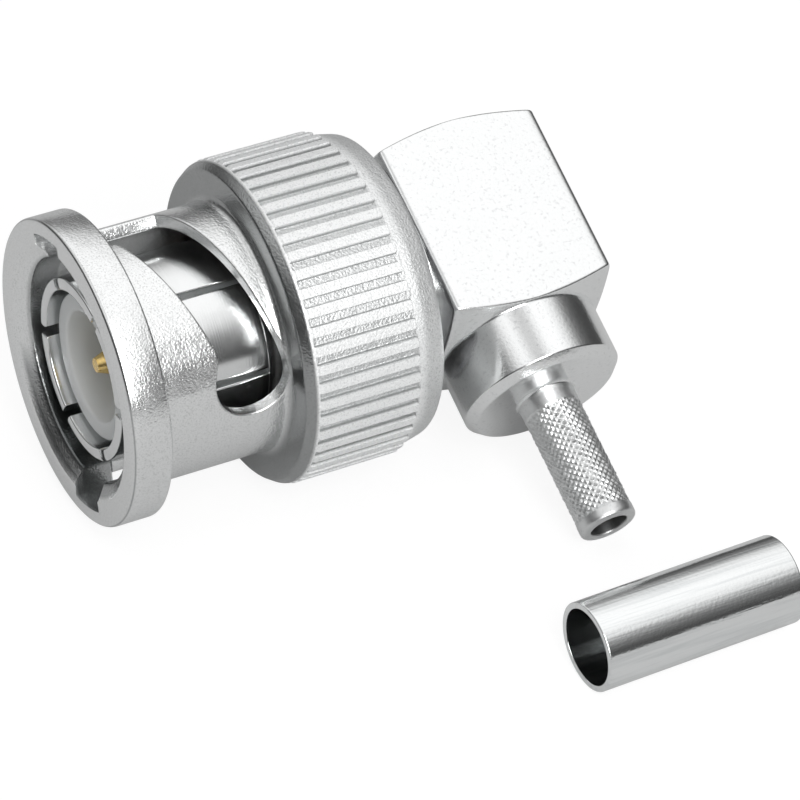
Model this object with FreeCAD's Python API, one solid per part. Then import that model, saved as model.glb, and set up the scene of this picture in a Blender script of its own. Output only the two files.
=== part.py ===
"""Right-angle bayonet coaxial plug for a thin crimped cable, with its loose crimp ferrule.

Frame: the plug's mating axis is +X, out of its mouth. The origin is on that axis, in the plane
of the coupling nut's front face. +Z is up and +Y is the side where the crimp stem points.
The plug lies as it rests on a table: on the nut's grip ring and on the tip of the crimp stem.
Sizes are in millimetres. "Depth" is a distance behind the nut's front face.
"""
import FreeCAD
import Part

import math
import os

V = FreeCAD.Vector

# Coupling nut: flange, neck and grip ring
FLANGE_R = 6.8
FLANGE_THICKNESS = 1.77
FLANGE_BEVEL = 0.12
NECK_R = 5.55
RING_FACE_R = 6.91           # the ring's front face ends here and a cone rises to the lip
RING_SLOPE = 0.43            # length of that cone
LIP_WIDTH = 0.12             # plain band in front of the bars
LIP_DROP = 0.06              # its depth below the bars' tops
BAR_TOP_R = 7.25
BAR_DEPTH = 0.27             # height of the grip bars over their roots
BAR_COUNT = 54
BAR_SHARE = 0.56             # bar width as a share of the pitch
BAR_END_SLOPE = 0.3
NUT_LENGTH = 14.6
REAR_BAND = 1.35             # plain band behind the bars
NUT_REAR_R = 6.62
NUT_REAR_SLOPE = 0.9         # length of the rear band's fall to its smaller end
MOUTH_R = 5.7                # the lead-in cone's wide end
MOUTH_DEPTH = 0.5
NUT_WALL = 0.6               # wall of the neck
REAR_WALL = 1.2              # the wall that bears on the thrust washer

# Bayonet windows, by angle round the axis from +Y towards +Z
ENTRY_ANGLE = 108.5
ENTRY_WIDTH = 2.24
ENTRY_TOP_R = 6.15           # the notch's reach into the flange
WINDOW_FRONT = 2.75          # depth of the ramp's front edge where it leaves the entry
WINDOW_REAR = 5.44           # depth of the rear edge at the far side of the entry
RAMP_RISE = 0.0303           # mm of depth for each degree, front edge
REAR_RISE = 0.0232           # the same for the rear edge
SEAT_ANGLE = 14.0
SEAT_DEPTH = 6.12
SEAT_R = 1.66
SEAT_EASE = 12.0             # degrees over which the ramp runs into the seat
SEAT_LAND = 0.09             # neck left between the seat and the grip ring

# Outer contact: slotted spring fingers
CONTACT_FRONT = 0.6
CONTACT_R = 4.05
CONTACT_WALL = 0.55
FINGER_COUNT = 6
FINGER_ANGLE = 6.0
SLOT_WIDTH = 0.5
SLOT_END = 7.6
CONTACT_STEP = 8.0           # depth of the inner step that the insulator seats on
CONTACT_STEP_HEIGHT = 0.5
ROOT_LENGTH = 2.0            # the length pressed into the plug body
ROOT_WALL = 0.4
LIP_BEVEL = 0.2

# Plug body: shoulder, bearing and spigot
SHOULDER_THICKNESS = 0.9
SHOULDER_CLEARANCE = 0.09
BEARING_R = 3.8
BEARING_CLEARANCE = 0.07
SPIGOT_LENGTH = 1.15
SPIGOT_R = 3.1
BODY_BORE_R = 2.6

# Seal, spring and washers
GASKET_THICKNESS = 1.0
GASKET_GAP = 0.1             # radial gap to the nut's bore
GASKET_SEAT = 0.2            # rise of the contact's seat under the gasket
WASHER_THICKNESS = 0.2
WASHER_GAP = 0.12            # radial gap of the thrust washer to the nut's bore
WAVE_SPACE = 0.7             # room for the waves, from the shoulder to the thrust washer
WAVE_THICKNESS = 0.18
WAVE_COUNT = 3
WAVE_INNER_GAP = 0.12
WAVE_FREE = 0.01             # play of each crest
RING_THICKNESS = 0.6
RING_GROOVE = 0.3
RING_R = 4.9
RING_PLAY = 0.05             # between the nut's rear face and the retaining ring
RING_OPENING = 3.0           # width of the ring's gap
RING_ANGLE = -120.0          # where the ring is open, from +Y towards +Z

# Insulators and centre pin
INSULATOR_FRONT = 1.1
INSULATOR_R = 3.25
SOCKET_R = 2.45
SOCKET_BOTTOM = 6.4
PIN_TIP = 1.35
PIN_R = 0.675
PIN_NOSE = 0.9
PIN_NOSE_R = 0.32
PIN_NECK_RISE = 0.2          # the pin is thicker where the insulator grips it
PIN_COLLAR_LENGTH = 0.8
PIN_COLLAR_R = 1.15
PIN_SHANK_R = 0.95           # its solder end
PIN_SLOT_WIDTH = 0.55
PIN_SLOT_LENGTH = 1.4
PIN_OVERRUN = 0.9            # the pin's reach past the crimp axis

# Elbow: square bar, boss and crimp stem, measured along the crimp axis from the mating axis
BLOCK_GAP = 1.25             # from the nut's rear face to the block
BLOCK_HALF = 3.85
BLOCK_BACK = 4.85
BLOCK_FRONT = 4.45
BLOCK_CHAMFER_DROP = 0.6     # fall of the end cones from the flat's edge to the corners
BOSS_END = 7.4
BOSS_STEP = 0.2              # fall from the block's faces to the boss
BOSS_CHAMFER = 0.38
STEM_END = 13.98
STEM_R = 1.3
STEM_BORE_R = 0.84
STEM_TIP_BEVEL = 0.22
STEM_FOOT_R = 1.6
STEM_FOOT_LENGTH = 0.35
STEM_MOUTH = 0.15            # chamfer of the bore's mouth
CAVITY_END = 3.4
PASSAGE_R = 2.2              # opening from the plug body's bore into the cavity
CAP_WALL = 0.85              # block left round the cap
CAP_LEDGE = 0.3              # the step that the cap insulator sits against
CAP_THICKNESS = 0.75
CAP_BEVEL = 0.15
CAP_INSULATOR_THICKNESS = 0.8

# Crimp ferrule, lying loose beside the plug
FERRULE_R = 1.95
FERRULE_WALL = 0.28
FERRULE_LENGTH = 9.5
FERRULE_END = (-14.35, 19.85)   # its near end on the table
FERRULE_YAW = 181.5             # degrees from +X, seen from above

# Sizes that follow from the fits
RING_FRONT = SEAT_DEPTH + SEAT_R + SEAT_LAND
LIP_REAR = RING_FRONT + RING_SLOPE + LIP_WIDTH
BAR_END = NUT_LENGTH - REAR_BAND
BAR_ROOT_R = BAR_TOP_R - BAR_DEPTH
LIP_R = BAR_TOP_R - LIP_DROP
NUT_BORE_R = NECK_R - NUT_WALL
REAR_WALL_FRONT = NUT_LENGTH - REAR_WALL
WASHER_FRONT = REAR_WALL_FRONT - WASHER_THICKNESS
SHOULDER_REAR = WASHER_FRONT - WAVE_SPACE
SHOULDER_FRONT = SHOULDER_REAR - SHOULDER_THICKNESS
SHOULDER_R = NUT_BORE_R - SHOULDER_CLEARANCE
GASKET_FRONT = SHOULDER_FRONT - GASKET_THICKNESS
GASKET_SEAT_R = CONTACT_R + GASKET_SEAT
RING_FRONT_FACE = NUT_LENGTH + RING_PLAY
RING_REAR_FACE = RING_FRONT_FACE + RING_THICKNESS
GROOVE_R = BEARING_R - RING_GROOVE
BLOCK_FACE = NUT_LENGTH + BLOCK_GAP
SPIGOT_END = BLOCK_FACE + SPIGOT_LENGTH
ELBOW_DEPTH = BLOCK_FACE + BLOCK_HALF
CONTACT_BORE_R = CONTACT_R - CONTACT_WALL
NARROW_BORE_R = CONTACT_BORE_R - CONTACT_STEP_HEIGHT
ROOT_R = NARROW_BORE_R + ROOT_WALL
ROOT_END = SHOULDER_FRONT + ROOT_LENGTH
INSULATOR_SPLIT = (CONTACT_STEP + ROOT_END) / 2
PIN_NECK_R = PIN_R + PIN_NECK_RISE
PIN_COLLAR_START = INSULATOR_SPLIT - PIN_COLLAR_LENGTH
BOSS_R = BLOCK_HALF - BOSS_STEP
CAP_R = BLOCK_HALF - CAP_WALL
CAVITY_R = CAP_R - CAP_LEDGE

# The plug rests on its grip ring and on the stem's bevelled tip, so the crimp axis tilts down
TIP_ALONG = STEM_END - STEM_TIP_BEVEL
TILT = math.asin(BAR_TOP_R / math.hypot(TIP_ALONG, STEM_R)) - math.atan2(STEM_R, TIP_ALONG)
CRIMP = V(0, math.cos(TILT), -math.sin(TILT))
TOP = V(0, math.sin(TILT), math.cos(TILT))
ELBOW_CENTRE = V(-ELBOW_DEPTH, 0, 0)
TABLE_Z = -BAR_TOP_R


def outline(points):
    """Closed wire in the XY plane; a third number in a point cuts that corner off by its length."""
    corners = []
    for i, point in enumerate(points):
        corner = V(point[0], point[1], 0)
        if len(point) == 2:
            corners.append(corner)
            continue
        for neighbour in (points[i - 1], points[(i + 1) % len(points)]):
            side = V(neighbour[0], neighbour[1], 0) - corner
            corners.append(corner + side.normalize() * point[2])
    return Part.makePolygon(corners + corners[:1])


def turned(points):
    """Solid turned about the mating axis from (depth, radius) points, depth growing to the rear."""
    face = Part.Face(outline([(-p[0],) + tuple(p[1:]) for p in points]))
    return face.revolve(V(), V(1, 0, 0), 360)


def turned_on_crimp_axis(points):
    """Solid turned about the crimp axis from (length along it, radius) points."""
    face = Part.Face(outline(points))
    return on_crimp_axis(face.revolve(V(), V(1, 0, 0), 360))


def on_crimp_axis(shape):
    """Moves a shape made along +X from the origin onto the crimp axis, its +Z to the big face."""
    placed = shape.copy()
    across = TOP.cross(CRIMP)
    placed.Placement = FreeCAD.Placement(ELBOW_CENTRE, FreeCAD.Rotation(CRIMP, across, TOP, "XYZ"))
    return placed


def radial_box(width, front, rear, inner, outer, angle):
    """Block between two depths and two radii, at an angle from +Y towards +Z."""
    box = Part.makeBox(rear - front, outer - inner, width, V(-rear, inner, -width / 2))
    box.rotate(V(), V(1, 0, 0), angle)
    return box


def window_face(radius):
    """The bayonet window drawn on a drum of that radius: entry channel, ramp and round seat."""
    drum = Part.Cylinder()
    drum.Radius = radius
    half = ENTRY_WIDTH / 2 / NECK_R
    high = math.radians(ENTRY_ANGLE) + half
    low = math.radians(ENTRY_ANGLE) - half
    mouth = FLANGE_THICKNESS / 2

    def at(angle, depth):
        return FreeCAD.Base.Vector2d(angle, -depth)

    def seat_edge(turn):
        across = SEAT_R * math.cos(turn) / NECK_R
        return at(math.radians(SEAT_ANGLE) - across, SEAT_DEPTH + SEAT_R * math.sin(turn))

    seat = [seat_edge(math.radians(turn)) for turn in range(-100, 101, 20)]
    round_end = Part.Geom2d.BSplineCurve2d()
    round_end.interpolate(seat)
    ramp = seat[0].x + math.radians(SEAT_EASE)
    ramp_depth = WINDOW_FRONT + RAMP_RISE * math.degrees(low - ramp)
    rear_depth = WINDOW_REAR + REAR_RISE * math.degrees(high - ramp)
    front = [at(high, mouth), at(low, mouth), at(low, WINDOW_FRONT), at(ramp, ramp_depth), seat[0]]
    rear = [seat[-1], at(ramp, rear_depth), at(high, WINDOW_REAR), at(high, mouth)]
    edges = [Part.Geom2d.Line2dSegment(a, b).toShape(drum) for a, b in zip(front, front[1:])]
    edges.append(round_end.toShape(drum))
    edges += [Part.Geom2d.Line2dSegment(a, b).toShape(drum) for a, b in zip(rear, rear[1:])]
    face = Part.Face(drum, Part.Wire(edges))
    face.validate()
    return face


def window_cutter(turn):
    """Solid with radial walls that cuts one window through the neck, turned to its side."""
    inner = NUT_BORE_R - NUT_WALL
    cutter = window_face(inner).makeOffsetShape(NECK_R + NUT_WALL - inner, 1e-4, fill=True)
    cutter.Placement = FreeCAD.Placement(V(), FreeCAD.Rotation(V(0, 1, 0), V(0, 0, 1), V(1, 0, 0), "XYZ"))
    cutter.rotate(V(), V(1, 0, 0), turn)
    return cutter


def grip_bars():
    """Straight flat-topped bars behind the lip, one at the very bottom, with sloping rear ends."""
    width = 2 * BAR_TOP_R * math.tan(math.pi / BAR_COUNT * BAR_SHARE)
    foot = BAR_ROOT_R - BAR_DEPTH
    side = outline([
        (-LIP_REAR, foot),
        (-LIP_REAR, BAR_TOP_R),
        (BAR_END_SLOPE - BAR_END, BAR_TOP_R),
        (-BAR_END, foot),
    ])
    bar = Part.Face(side).extrude(V(0, 0, width))
    bar.translate(V(0, 0, -width / 2))
    bars = []
    for k in range(BAR_COUNT):
        turned_bar = bar.copy()
        turned_bar.rotate(V(), V(1, 0, 0), 360 * k / BAR_COUNT - 90)
        bars.append(turned_bar)
    return bars


def coupling_nut():
    """Die-cast nut: flange, neck with two through windows, grip ring and rear bearing wall."""
    bearing = BEARING_R + BEARING_CLEARANCE
    nut = turned([
        (0, MOUTH_R),
        (0, FLANGE_R, FLANGE_BEVEL),
        (FLANGE_THICKNESS, FLANGE_R),
        (FLANGE_THICKNESS, NECK_R),
        (RING_FRONT, NECK_R),
        (RING_FRONT, RING_FACE_R),
        (RING_FRONT + RING_SLOPE, LIP_R),
        (LIP_REAR, LIP_R),
        (LIP_REAR, BAR_ROOT_R),
        (NUT_LENGTH - NUT_REAR_SLOPE, BAR_ROOT_R),
        (NUT_LENGTH, NUT_REAR_R),
        (NUT_LENGTH, bearing),
        (REAR_WALL_FRONT, bearing),
        (REAR_WALL_FRONT, NUT_BORE_R),
        (MOUTH_DEPTH, NUT_BORE_R),
    ])
    nut = nut.fuse(grip_bars())
    cutters = []
    for turn in (0, 180):
        cutters.append(window_cutter(turn))
        cutters.append(radial_box(ENTRY_WIDTH, -1, FLANGE_THICKNESS, 0, ENTRY_TOP_R, ENTRY_ANGLE + turn))
    return nut.cut(cutters)


def outer_contact():
    """Spring contact with slotted fingers; its root is pressed into the plug body."""
    contact = turned([
        (CONTACT_FRONT, CONTACT_BORE_R),
        (CONTACT_FRONT, CONTACT_R, LIP_BEVEL),
        (GASKET_FRONT, CONTACT_R),
        (GASKET_FRONT, GASKET_SEAT_R),
        (SHOULDER_FRONT, GASKET_SEAT_R),
        (SHOULDER_FRONT, ROOT_R),
        (ROOT_END, ROOT_R),
        (ROOT_END, NARROW_BORE_R),
        (CONTACT_STEP, NARROW_BORE_R),
        (CONTACT_STEP, CONTACT_BORE_R),
    ])
    slots = []
    for k in range(FINGER_COUNT):
        angle = FINGER_ANGLE + 360 * k / FINGER_COUNT
        slots.append(radial_box(SLOT_WIDTH, 0, SLOT_END, NARROW_BORE_R, CONTACT_R + 1, angle))
    return contact.cut(slots)


def plug_body():
    """Turned body: shoulder, bearing for the nut, groove for its ring and spigot for the elbow."""
    return turned([
        (SHOULDER_FRONT, ROOT_R),
        (SHOULDER_FRONT, SHOULDER_R),
        (SHOULDER_REAR, SHOULDER_R),
        (SHOULDER_REAR, BEARING_R),
        (RING_FRONT_FACE, BEARING_R),
        (RING_FRONT_FACE, GROOVE_R),
        (RING_REAR_FACE, GROOVE_R),
        (RING_REAR_FACE, BEARING_R),
        (BLOCK_FACE, BEARING_R),
        (BLOCK_FACE, SPIGOT_R),
        (SPIGOT_END, SPIGOT_R),
        (SPIGOT_END, BODY_BORE_R),
        (ROOT_END, BODY_BORE_R),
        (ROOT_END, ROOT_R),
    ])


def gasket():
    """Silicone ring in front of the shoulder, where the mating shell ends."""
    outer = NUT_BORE_R - GASKET_GAP
    return turned([
        (GASKET_FRONT, GASKET_SEAT_R),
        (GASKET_FRONT, outer),
        (SHOULDER_FRONT, outer),
        (SHOULDER_FRONT, GASKET_SEAT_R),
    ])


def thrust_washer():
    """Flat steel washer between the wave washer and the nut's rear wall."""
    inner = BEARING_R + BEARING_CLEARANCE
    outer = NUT_BORE_R - WASHER_GAP
    return turned([(WASHER_FRONT, inner), (WASHER_FRONT, outer), (REAR_WALL_FRONT, outer),
                   (REAR_WALL_FRONT, inner)])


def wave_washer():
    """Spring washer with three waves, between the shoulder and the thrust washer."""
    inner = BEARING_R + WAVE_INNER_GAP
    outer = NUT_BORE_R - WASHER_GAP
    middle = (inner + outer) / 2
    depth = (SHOULDER_REAR + WASHER_FRONT) / 2
    swing = (WASHER_FRONT - SHOULDER_REAR - WAVE_THICKNESS) / 2 - WAVE_FREE
    trail = []
    for k in range(WAVE_COUNT * 12):
        angle = 2 * math.pi * k / (WAVE_COUNT * 12)
        offset = swing * math.cos(WAVE_COUNT * angle)
        trail.append(V(-depth - offset, middle * math.cos(angle), middle * math.sin(angle)))
    centre_line = Part.BSplineCurve()
    centre_line.interpolate(trail, PeriodicFlag=True)
    start = trail[0].x
    section = Part.makePolygon([
        V(start - WAVE_THICKNESS / 2, inner, 0),
        V(start + WAVE_THICKNESS / 2, inner, 0),
        V(start + WAVE_THICKNESS / 2, outer, 0),
        V(start - WAVE_THICKNESS / 2, outer, 0),
        V(start - WAVE_THICKNESS / 2, inner, 0),
    ])
    sweep = Part.BRepOffsetAPI.MakePipeShell(Part.Wire(centre_line.toShape()))
    sweep.setBiNormalMode(V(1, 0, 0))
    sweep.add(section)
    sweep.build()
    sweep.makeSolid()
    return sweep.shape()


def retaining_ring():
    """Open spring ring in the body's groove, which keeps the nut on."""
    ring = turned([(RING_FRONT_FACE, GROOVE_R), (RING_FRONT_FACE, RING_R), (RING_REAR_FACE, RING_R),
                   (RING_REAR_FACE, GROOVE_R)])
    gap = radial_box(RING_OPENING, RING_FRONT_FACE - 1, RING_REAR_FACE + 1, 0, RING_R + 1, RING_ANGLE)
    return ring.cut(gap)


def front_insulator():
    """White fluoropolymer sleeve round the centre pin, seated on the contact's inner step."""
    return turned([
        (INSULATOR_FRONT, SOCKET_R),
        (INSULATOR_FRONT, INSULATOR_R),
        (CONTACT_STEP, INSULATOR_R),
        (CONTACT_STEP, NARROW_BORE_R),
        (INSULATOR_SPLIT, NARROW_BORE_R),
        (INSULATOR_SPLIT, PIN_COLLAR_R),
        (PIN_COLLAR_START, PIN_COLLAR_R),
        (PIN_COLLAR_START, PIN_NECK_R),
        (SOCKET_BOTTOM, PIN_NECK_R),
        (SOCKET_BOTTOM, SOCKET_R),
    ])


def rear_insulator():
    """Stepped bead behind the pin's collar, reaching through the body to the elbow's cavity."""
    return turned([
        (INSULATOR_SPLIT, PIN_SHANK_R),
        (INSULATOR_SPLIT, NARROW_BORE_R),
        (ROOT_END, NARROW_BORE_R),
        (ROOT_END, BODY_BORE_R),
        (SPIGOT_END, BODY_BORE_R),
        (SPIGOT_END, PIN_SHANK_R),
    ])


def centre_pin():
    """Gold-plated pin with a blunt nose, a locating collar and a slotted solder end."""
    end = ELBOW_DEPTH + PIN_OVERRUN
    pin = turned([
        (PIN_TIP, 0),
        (PIN_TIP, PIN_NOSE_R),
        (PIN_TIP + PIN_NOSE, PIN_R),
        (SOCKET_BOTTOM, PIN_R),
        (SOCKET_BOTTOM, PIN_NECK_R),
        (PIN_COLLAR_START, PIN_NECK_R),
        (PIN_COLLAR_START, PIN_COLLAR_R),
        (INSULATOR_SPLIT, PIN_COLLAR_R),
        (INSULATOR_SPLIT, PIN_SHANK_R),
        (end, PIN_SHANK_R),
        (end, 0),
    ])
    reach = 2 * PIN_SHANK_R
    slot = Part.makeBox(2 * reach, PIN_SLOT_LENGTH + 1, PIN_SLOT_WIDTH,
                        V(-reach, PIN_OVERRUN - PIN_SLOT_LENGTH, -PIN_SLOT_WIDTH / 2))
    return pin.cut(on_crimp_axis(slot))


def elbow_housing():
    """Elbow turned from square bar: block with coned ends, round boss and hollow crimp stem."""
    corner_r = BLOCK_HALF * math.sqrt(2)
    length = BLOCK_BACK + BLOCK_FRONT
    bar = Part.makeBox(length, 2 * BLOCK_HALF, 2 * BLOCK_HALF, V(-BLOCK_BACK, -BLOCK_HALF, -BLOCK_HALF))
    coned = turned_on_crimp_axis([
        (-BLOCK_BACK, 0),
        (-BLOCK_BACK, BLOCK_HALF),
        (-BLOCK_BACK + BLOCK_CHAMFER_DROP, corner_r),
        (BLOCK_FRONT - BLOCK_CHAMFER_DROP, corner_r),
        (BLOCK_FRONT, BLOCK_HALF),
        (BLOCK_FRONT, 0),
    ])
    boss_and_stem = turned_on_crimp_axis([
        (0, 0),
        (0, BOSS_R),
        (BOSS_END - BOSS_CHAMFER, BOSS_R),
        (BOSS_END, BOSS_R - BOSS_CHAMFER),
        (BOSS_END, STEM_FOOT_R),
        (BOSS_END + STEM_FOOT_LENGTH, STEM_R),
        (STEM_END, STEM_R, STEM_TIP_BEVEL),
        (STEM_END, 0),
    ])
    seat = CAP_THICKNESS - BLOCK_BACK
    cavity = turned_on_crimp_axis([
        (-BLOCK_BACK, 0),
        (-BLOCK_BACK, CAP_R),
        (seat, CAP_R),
        (seat, CAVITY_R),
        (CAVITY_END, CAVITY_R),
        (CAVITY_END, STEM_BORE_R),
        (STEM_END - STEM_MOUTH, STEM_BORE_R),
        (STEM_END, STEM_BORE_R + STEM_MOUTH),
        (STEM_END, 0),
    ])
    entry = turned([
        (BLOCK_FACE, 0),
        (BLOCK_FACE, SPIGOT_R),
        (SPIGOT_END, SPIGOT_R),
        (SPIGOT_END, PASSAGE_R),
        (ELBOW_DEPTH, PASSAGE_R),
        (ELBOW_DEPTH, 0),
    ])
    return on_crimp_axis(bar).common(coned).fuse(boss_and_stem).cut([cavity, entry])


def end_cap():
    """Round cap pressed into the block's back once the cable core is soldered to the pin."""
    return turned_on_crimp_axis([
        (-BLOCK_BACK, 0),
        (-BLOCK_BACK, CAP_R, CAP_BEVEL),
        (CAP_THICKNESS - BLOCK_BACK, CAP_R),
        (CAP_THICKNESS - BLOCK_BACK, 0),
    ])


def cap_insulator():
    """Insulating disc behind the solder joint, held by the cap."""
    front = CAP_THICKNESS - BLOCK_BACK
    return turned_on_crimp_axis([
        (front, 0),
        (front, CAVITY_R),
        (front + CAP_INSULATOR_THICKNESS, CAVITY_R),
        (front + CAP_INSULATOR_THICKNESS, 0),
    ])


def crimp_ferrule():
    """Drawn tube that is crimped over the braid on the stem; it lies loose on the table."""
    inner = FERRULE_R - FERRULE_WALL
    face = Part.Face(outline([
        (0, inner),
        (0, FERRULE_R),
        (FERRULE_LENGTH, FERRULE_R),
        (FERRULE_LENGTH, inner),
    ]))
    tube = face.revolve(V(), V(1, 0, 0), 360)
    tube.rotate(V(), V(0, 0, 1), FERRULE_YAW)
    tube.translate(V(FERRULE_END[0], FERRULE_END[1], TABLE_Z + FERRULE_R))
    return tube


PIECES = (
    coupling_nut, outer_contact, plug_body, gasket, thrust_washer, wave_washer, retaining_ring,
    front_insulator, rear_insulator, centre_pin, elbow_housing, end_cap, cap_insulator, crimp_ferrule,
)

os.makedirs("parts", exist_ok=True)
for piece in PIECES:
    shape = piece()
    if not shape.isValid() or len(shape.Solids) != 1:
        raise RuntimeError(piece.__name__ + " is not one valid solid")
    shape.Solids[0].exportStep("parts/" + piece.__name__ + ".step")
    print(piece.__name__, round(shape.Volume, 2), "cubic mm")
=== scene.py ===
import math

import bmesh
import bpy
import numpy as np
from mathutils import Matrix, Vector


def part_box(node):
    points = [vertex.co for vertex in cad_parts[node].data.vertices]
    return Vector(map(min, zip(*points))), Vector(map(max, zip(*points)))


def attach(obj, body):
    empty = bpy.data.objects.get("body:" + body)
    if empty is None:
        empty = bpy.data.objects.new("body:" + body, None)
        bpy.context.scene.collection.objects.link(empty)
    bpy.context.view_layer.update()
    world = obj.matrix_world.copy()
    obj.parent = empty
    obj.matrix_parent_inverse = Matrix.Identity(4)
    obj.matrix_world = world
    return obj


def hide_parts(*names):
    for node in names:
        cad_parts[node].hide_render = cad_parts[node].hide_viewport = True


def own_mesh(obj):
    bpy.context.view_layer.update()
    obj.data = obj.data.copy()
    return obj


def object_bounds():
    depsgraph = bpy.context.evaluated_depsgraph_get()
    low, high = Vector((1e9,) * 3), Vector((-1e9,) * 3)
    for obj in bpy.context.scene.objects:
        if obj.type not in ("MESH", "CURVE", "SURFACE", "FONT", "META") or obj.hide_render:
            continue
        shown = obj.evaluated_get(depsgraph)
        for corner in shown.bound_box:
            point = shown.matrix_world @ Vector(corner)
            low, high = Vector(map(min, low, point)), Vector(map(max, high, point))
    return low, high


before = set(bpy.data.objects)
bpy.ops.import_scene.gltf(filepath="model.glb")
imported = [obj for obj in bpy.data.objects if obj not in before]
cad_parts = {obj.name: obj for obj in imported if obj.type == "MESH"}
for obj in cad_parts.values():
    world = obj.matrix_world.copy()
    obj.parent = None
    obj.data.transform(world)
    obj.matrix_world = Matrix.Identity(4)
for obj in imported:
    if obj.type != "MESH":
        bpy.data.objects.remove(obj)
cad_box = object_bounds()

# Camera
# It stands above the crimp side and looks down at the plug's mouth and grip ring, as the
# photograph does. Lengths in this script are millimetres unless a name says otherwise.
MM = 0.001
EYE = Vector((61.73, 140.35, 117.75))
TARGET = Vector((-12.18, 7.2, -0.49))      # what the middle of the picture shows
ROLL = math.radians(1.95)
LENS = 205.0
SENSOR_WIDTH = 36.0
NEAR, FAR = 10.0, 5000.0
camera = bpy.data.objects.new("camera", bpy.data.cameras.new("camera"))
camera.data.lens = LENS
camera.data.sensor_width = SENSOR_WIDTH
camera.data.clip_start = NEAR * MM
camera.data.clip_end = FAR * MM
aim = (TARGET - EYE).to_track_quat("-Z", "Y").to_matrix().to_4x4()
camera.matrix_world = Matrix.Translation(EYE * MM) @ aim @ Matrix.Rotation(ROLL, 4, "Z")
bpy.context.scene.collection.objects.link(camera)
bpy.context.scene.camera = camera
bpy.context.scene.view_settings.view_transform = "Standard"


# Studio
# A pale tent with a long soft light overhead, dark low down on all sides, a tall softbox on the
# camera's side, and a pale table. The camera sees table and tent as plain white; the metals
# mirror the two lights.
class Socket:
    """A node's output with the arithmetic that the materials need; each operator adds a Math node."""

    def __init__(self, tree, out):
        self.tree = tree
        self.out = out

    def math(self, operation, *values, clamp=False):
        node = self.tree.node("ShaderNodeMath", {"operation": operation, "use_clamp": clamp},
                              dict(enumerate([self, *values])))
        return node.get(0)

    def __add__(self, other):
        return self.math("ADD", other)

    __radd__ = __add__

    def __mul__(self, other):
        return self.math("MULTIPLY", other)

    __rmul__ = __mul__

    def __sub__(self, other):
        return self.math("SUBTRACT", other)

    def __rsub__(self, other):
        return (self * -1) + other

    def __truediv__(self, other):
        return self.math("DIVIDE", other)


class Node:
    """A node of a tree, whose outputs are read as Sockets."""

    def __init__(self, tree, node):
        self.tree = tree
        self.node = node

    def get(self, output):
        return Socket(self.tree, self.node.outputs[output])


class Tree:
    """The node tree of a material or of the world."""

    def __init__(self, holder):
        holder.use_nodes = True
        self.nodes = holder.node_tree.nodes
        self.links = holder.node_tree.links
        self.nodes.clear()

    def node(self, kind, settings=None, inputs=None):
        """Adds a node: its settings first, then the values or links of its sockets."""
        node = self.nodes.new(kind)
        for key, value in (settings or {}).items():
            if key == "stops":
                stops = node.color_ramp.elements
                while len(stops) < len(value):
                    stops.new(0.5)
                for stop, (place, tone) in zip(stops, value):
                    stop.position = place
                    stop.color = (tone, tone, tone, 1) if isinstance(tone, (int, float)) else (*tone, 1)
            else:
                setattr(node, key, value)
        for key, value in (inputs or {}).items():
            if isinstance(value, Socket):
                self.links.new(value.out, node.inputs[key])
            else:
                node.inputs[key].default_value = value
        return Node(self, node)


def mixed(tree, share, first, second, blend="MIX"):
    """A colour between two others, each of which is a Socket or three numbers."""
    first, second = (c if isinstance(c, Socket) else (*c, 1) for c in (first, second))
    return tree.node("ShaderNodeMix", {"data_type": "RGBA", "blend_type": blend},
                     {0: share, 6: first, 7: second}).get(2)


def ramp(tree, value, *stops):
    """A tone or colour that follows a value through (place, tone) stops."""
    return tree.node("ShaderNodeValToRGB", {"stops": stops}, {0: value}).get(0)


def noise(tree, place, scale, detail=2.0):
    """Noise with grains of 1/scale metres."""
    return tree.node("ShaderNodeTexNoise",
                     inputs={"Vector": place, "Scale": scale, "Detail": detail}).get(0)


def plain_share(tree, mirrored):
    """How much of the plain white a ray sees: all of it from the camera and through glass, and
    the share `mirrored` of it in a reflection."""
    path = tree.node("ShaderNodeLightPath")
    return (path.get("Is Camera Ray") + path.get("Is Transmission Ray")
            + path.get("Is Glossy Ray") * mirrored)


WHITE = (1.0, 1.0, 1.0)
LIGHT_LEVEL = 1.08
TENT_TO_METAL = 0.03                       # how much of the tent's plain white the metals mirror too
LIGHT_ASPECT = 0.88                        # the overhead light reaches less far along X than along Y
FRONT_FALL = 0.25                          # it ends sooner on the camera's side
BACK_FALL = 0.12                           # and behind
OVERHEAD = [(0.0, 0.01), (0.25, 0.03), (0.4, 0.1), (0.5, 0.27),      # from straight down
            (0.56, 0.52), (0.63, 0.8), (0.74, 1.0), (1.0, 1.0)]      # to straight up
SEAM = [(0.0, 1.0), (0.42, 1.0), (0.54, 0.55),                       # a dimmer fold across the
        (0.62, 0.6), (0.72, 1.0), (1.0, 1.0)]                        # tent, from -X to +X
tent = bpy.data.worlds.new("tent")
bpy.context.scene.world = tent
tree = Tree(tent)
ray = tree.node("ShaderNodeSeparateXYZ", inputs={0: tree.node("ShaderNodeTexCoord").get("Generated")})
front = ray.get(1).math("MAXIMUM", 0.0) * FRONT_FALL - ray.get(1).math("MINIMUM", 0.0) * BACK_FALL
reach = ray.get(2) - ray.get(0).math("ABSOLUTE") * LIGHT_ASPECT - front
overhead = ramp(tree, reach * 0.5 + 0.5, *OVERHEAD)
glow = mixed(tree, 1.0, overhead, ramp(tree, ray.get(0) * 0.5 + 0.5, *SEAM), "MULTIPLY")
seen = mixed(tree, plain_share(tree, TENT_TO_METAL), glow, WHITE)
light = tree.node("ShaderNodeBackground", inputs={0: seen, 1: LIGHT_LEVEL}).get(0)
tree.node("ShaderNodeOutputWorld", inputs={0: light})

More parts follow.
